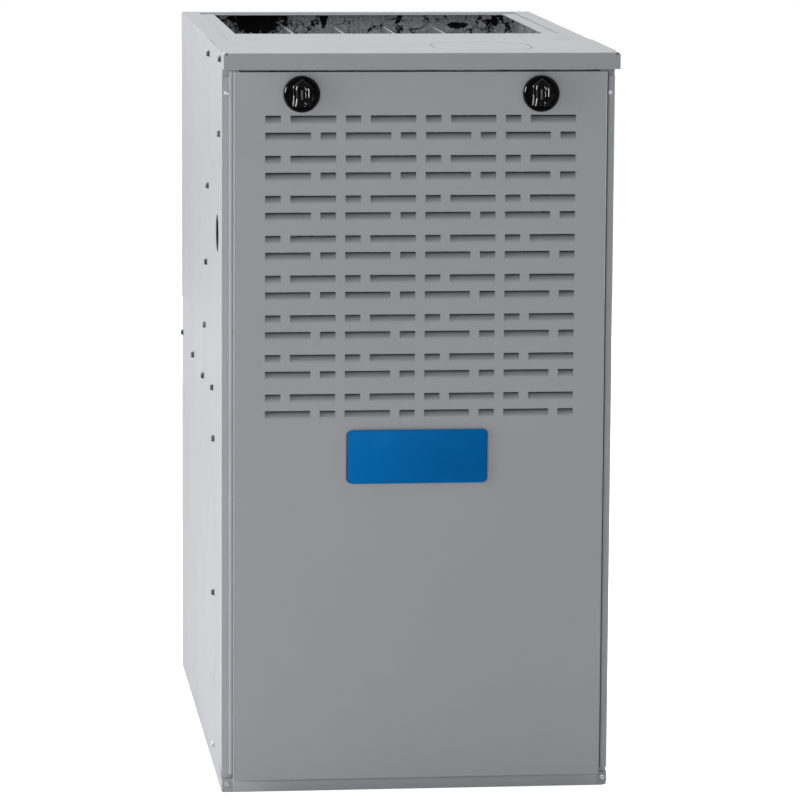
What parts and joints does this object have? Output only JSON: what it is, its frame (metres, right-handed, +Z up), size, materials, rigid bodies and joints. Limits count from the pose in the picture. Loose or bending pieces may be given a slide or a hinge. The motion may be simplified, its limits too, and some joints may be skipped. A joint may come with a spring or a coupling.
{
  "type": "forced air gas furnace",
  "caption": "Upflow gas furnace cabinet with a louvered lift-off front door, quarter-turn latches and an open supply outlet over clamshell heat exchanger cells.",
  "frame": {"origin": "centre of the bounding box at the floor", "axes": "+Z up, -Y towards the louvered front door, +X to the right seen from the front"},
  "size_m": [0.4514, 0.749, 0.847],
  "materials": {
    "cabinet_paint": "satin",
    "galvanised": "matte",
    "aluminised": "matte",
    "foil": "glass blanket with a wrinkled foil face",
    "cast_alloy": "cast",
    "black_steel": "satin",
    "screw_zinc": "bright",
    "brass": "turned",
    "black_gloss": "gloss",
    "dark_plastic": "matte",
    "white_plastic": "matte",
    "red_plastic": "matte",
    "board_green": "satin",
    "hose_rubber": "matte",
    "shaft_steel": "ground"
  },
  "bodies": {
    "cabinet": {"casing_wrapper": "cabinet_paint", "top_cap": "cabinet_paint", "top_filler_panel": "cabinet_paint", "outlet_frame": "cabinet_paint", "upper_cross_rail": "galvanised", "bottom_rail": "cabinet_paint", "base_pan": "galvanised", "bottom_closure": "galvanised", "blower_deck": "galvanised", "vestibule_panel": "galvanised", "blower_door_rails": "galvanised", "blower_door": "galvanised", "outlet_liner": "foil", "side_screws": "screw_zinc", "front_screws": "screw_zinc", "cell_1": "aluminised", "cell_2": "aluminised", "cell_3": "aluminised", "cell_4": "aluminised", "collector_box": "galvanised", "burner_box": "galvanised", "inshot_burners": "aluminised", "gas_manifold": "black_steel", "gas_orifices": "brass", "gas_valve": "cast_alloy", "igniter": "white_plastic", "flame_sensor": "white_plastic", "rollout_switches": "dark_plastic", "limit_switch": "dark_plastic", "inducer_housing": "galvanised", "inducer_motor": "black_steel", "vent_collar": "galvanised", "pressure_switch": "dark_plastic", "pressure_hose": "hose_rubber", "blower_housing": "galvanised", "blower_cutoff": "galvanised", "blower_rails": "galvanised", "blower_motor": "black_steel", "motor_arms": "galvanised", "capacitor": "cast_alloy", "control_box": "galvanised", "control_board": "board_green", "transformer": "dark_plastic", "door_switch": "dark_plastic"},
    "door": {"louvered_door": "cabinet_paint", "door_liner": "foil"},
    "latch_left": {"latch_left": "black_gloss"},
    "latch_right": {"latch_right": "black_gloss"},
    "blower_rotor": {"blower_wheel": "galvanised", "blower_shaft": "shaft_steel"},
    "inducer_rotor": {"inducer_wheel": "galvanised"},
    "valve_lever": {"gas_valve_lever": "dark_plastic"},
    "reset_left": {"reset_button_left": "red_plastic"},
    "reset_right": {"reset_button_right": "red_plastic"},
    "door_plunger": {"door_switch_plunger": "white_plastic"}
  },
  "joints": [
    {"name": "door_pull", "type": "slide", "parent": "cabinet", "child": "door", "axis": [0, -1, 0], "range_m": [0, 0.3]},
    {"name": "latch_left_turn", "type": "hinge", "parent": "door", "child": "latch_left", "pos_m": [-0.1347, -0.3605, 0.8004], "axis": [0, -1, 0], "range_deg": [0, 90]},
    {"name": "latch_right_turn", "type": "hinge", "parent": "door", "child": "latch_right", "pos_m": [0.1347, -0.3605, 0.8004], "axis": [0, 1, 0], "range_deg": [0, 90]},
    {"name": "blower_spin", "type": "hinge", "parent": "cabinet", "child": "blower_rotor", "pos_m": [0, 0.0935, 0.215], "axis": [1, 0, 0], "continuous": true},
    {"name": "inducer_spin", "type": "hinge", "parent": "cabinet", "child": "inducer_rotor", "pos_m": [0.0204, -0.252, 0.705], "axis": [0, 1, 0], "continuous": true},
    {"name": "valve_turn", "type": "hinge", "parent": "cabinet", "child": "valve_lever", "pos_m": [-0.124, -0.3065, 0.6309], "axis": [0, 1, 0], "range_deg": [0, 90]},
    {"name": "reset_left_push", "type": "slide", "parent": "cabinet", "child": "reset_left", "axis": [0, 0, -1], "range_m": [0, 0.0015], "stiffness_N_per_m": 300},
    {"name": "reset_right_push", "type": "slide", "parent": "cabinet", "child": "reset_right", "axis": [0, 0, -1], "range_m": [0, 0.0015], "stiffness_N_per_m": 300},
    {"name": "door_plunger_push", "type": "slide", "parent": "cabinet", "child": "door_plunger", "axis": [0, 1, 0], "range_m": [0, 0.004], "stiffness_N_per_m": 200}
  ]
}
